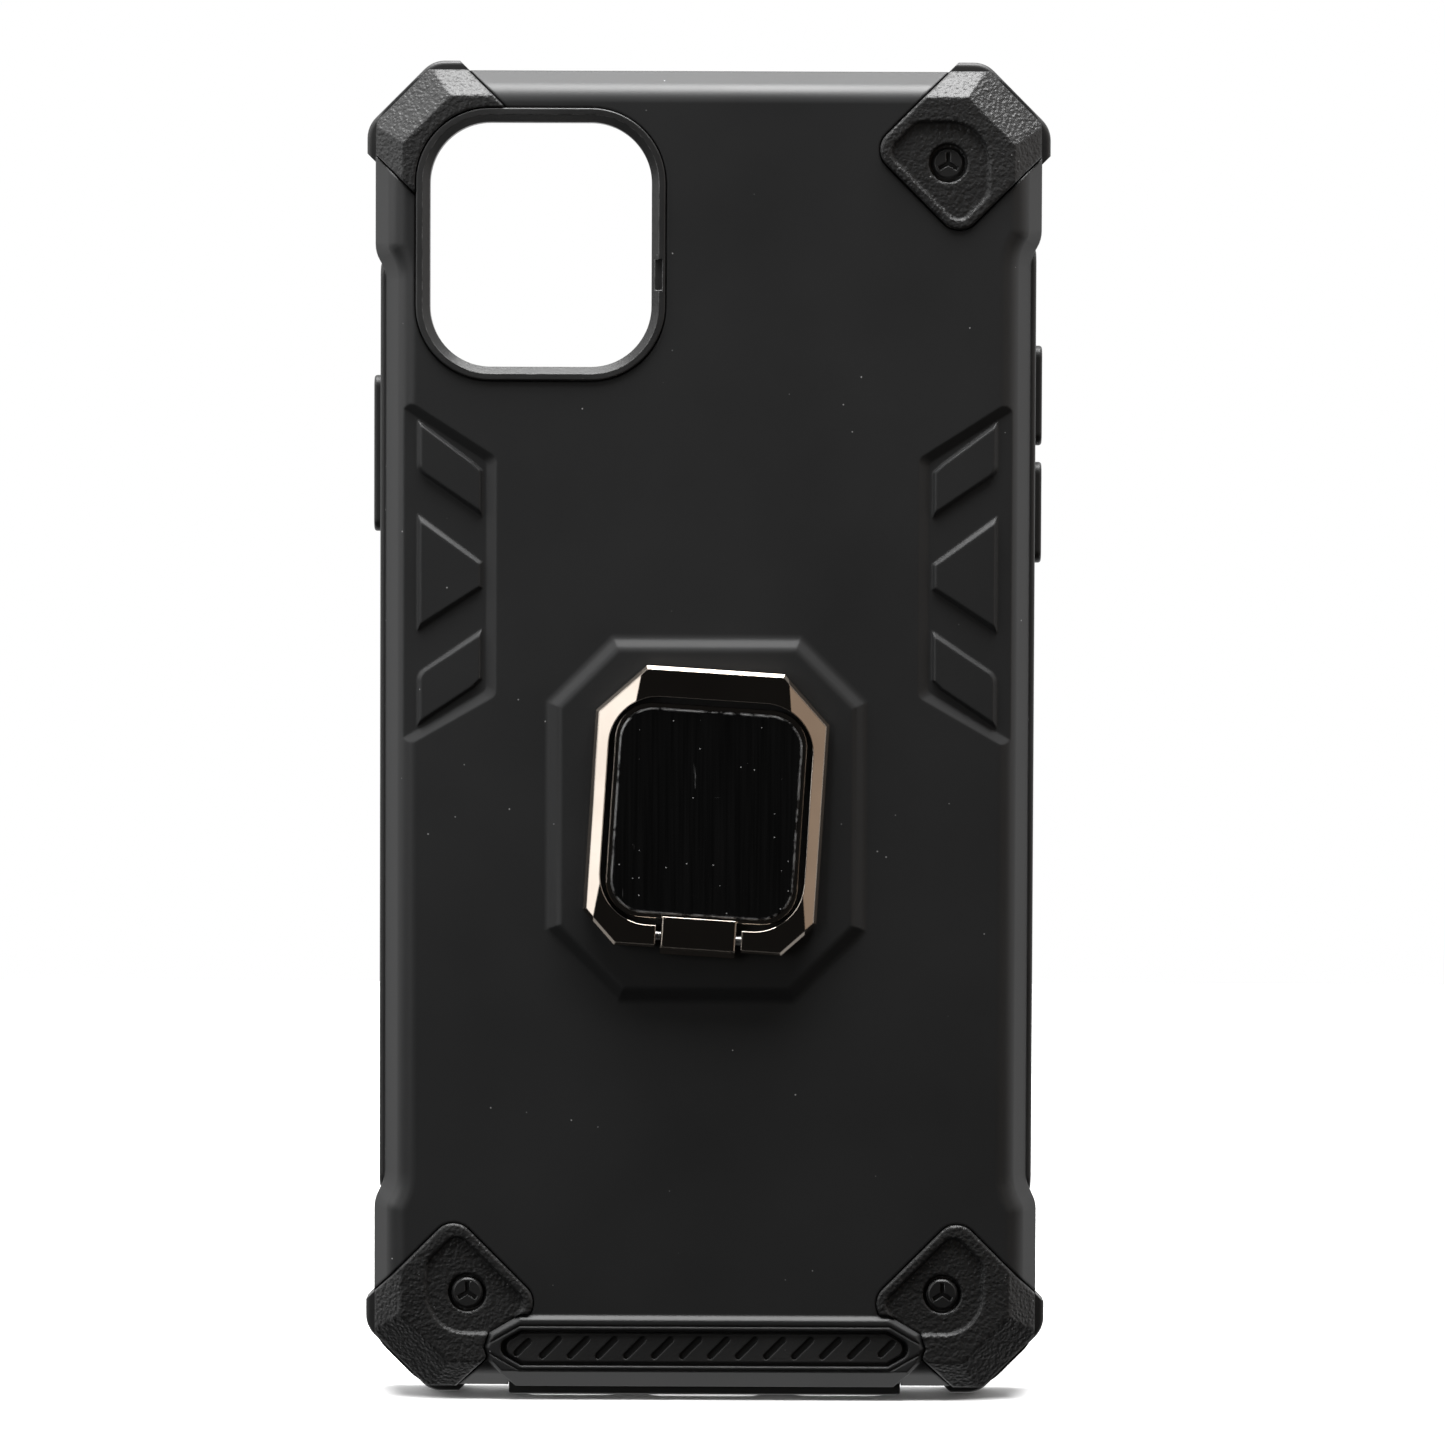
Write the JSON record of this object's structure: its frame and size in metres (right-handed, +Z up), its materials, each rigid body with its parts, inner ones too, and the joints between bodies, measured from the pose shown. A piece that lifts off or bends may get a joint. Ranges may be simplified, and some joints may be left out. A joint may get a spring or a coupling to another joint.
{
  "type": "phone case",
  "caption": "Rugged two-layer phone case with corner guards, grip panels and a swivelling fold-out ring stand.",
  "frame": {"origin": "bottom centre of the whole part's bounding box, under the middle of its standing width", "axes": "+Z up along the case's length, +Y from the ring stand's side towards the open screen side, +X to the right of a viewer who looks at the ring stand"},
  "size_m": [0.085, 0.0154, 0.1663],
  "materials": {
    "shell_plastic": "soft-touch matt black hard plastic",
    "liner_rubber": "satin black soft rubber",
    "guard_rubber": "grained black rubber",
    "stud_plastic": "satin black plastic",
    "bar_rubber": "satin black rubber",
    "dark_nickel": "polished black nickel",
    "gloss_plate": "mirror gloss black, finely scratched",
    "pin_steel": "plain steel",
    "nylon": "natural nylon"
  },
  "bodies": {
    "case": {"outer_shell": "shell_plastic", "inner_liner": "liner_rubber", "camera_rim": "liner_rubber", "corner_guard_top_left": "guard_rubber", "corner_guard_top_right": "guard_rubber", "corner_guard_bottom_left": "guard_rubber", "corner_guard_bottom_right": "guard_rubber", "corner_stud_top_right": "stud_plastic", "corner_stud_bottom_left": "stud_plastic", "corner_stud_bottom_right": "stud_plastic", "grip_bar": "bar_rubber"},
    "swivel": {"swivel_base": "dark_nickel", "face_plate": "gloss_plate", "hinge_pin": "pin_steel", "swivel_rivet": "pin_steel", "backing_washer": "pin_steel", "spring_washer": "pin_steel", "friction_washer": "nylon"},
    "ring": {"ring_frame": "dark_nickel"},
    "side_key": {"side_button": "liner_rubber"},
    "volume_up_key": {"volume_up_button": "liner_rubber"},
    "volume_down_key": {"volume_down_button": "liner_rubber"}
  },
  "joints": [
    {"name": "ring_swivel", "type": "hinge", "parent": "case", "child": "swivel", "pos_m": [0, -0.00395, 0.0732], "axis": [0, 1, 0], "continuous": true},
    {"name": "ring_fold", "type": "hinge", "parent": "swivel", "child": "ring", "pos_m": [-0.00097, -0.00655, 0.05783], "axis": [0.998, 0, -0.0628], "range_deg": [0, 180]},
    {"name": "side_button_press", "type": "slide", "parent": "case", "child": "side_key", "axis": [1, 0, 0], "range_m": [0, 0.0004], "stiffness_N_per_m": 3000},
    {"name": "volume_up_press", "type": "slide", "parent": "case", "child": "volume_up_key", "axis": [-1, 0, 0], "range_m": [0, 0.0004], "stiffness_N_per_m": 3000},
    {"name": "volume_down_press", "type": "slide", "parent": "case", "child": "volume_down_key", "axis": [-1, 0, 0], "range_m": [0, 0.0004], "stiffness_N_per_m": 3000}
  ]
}
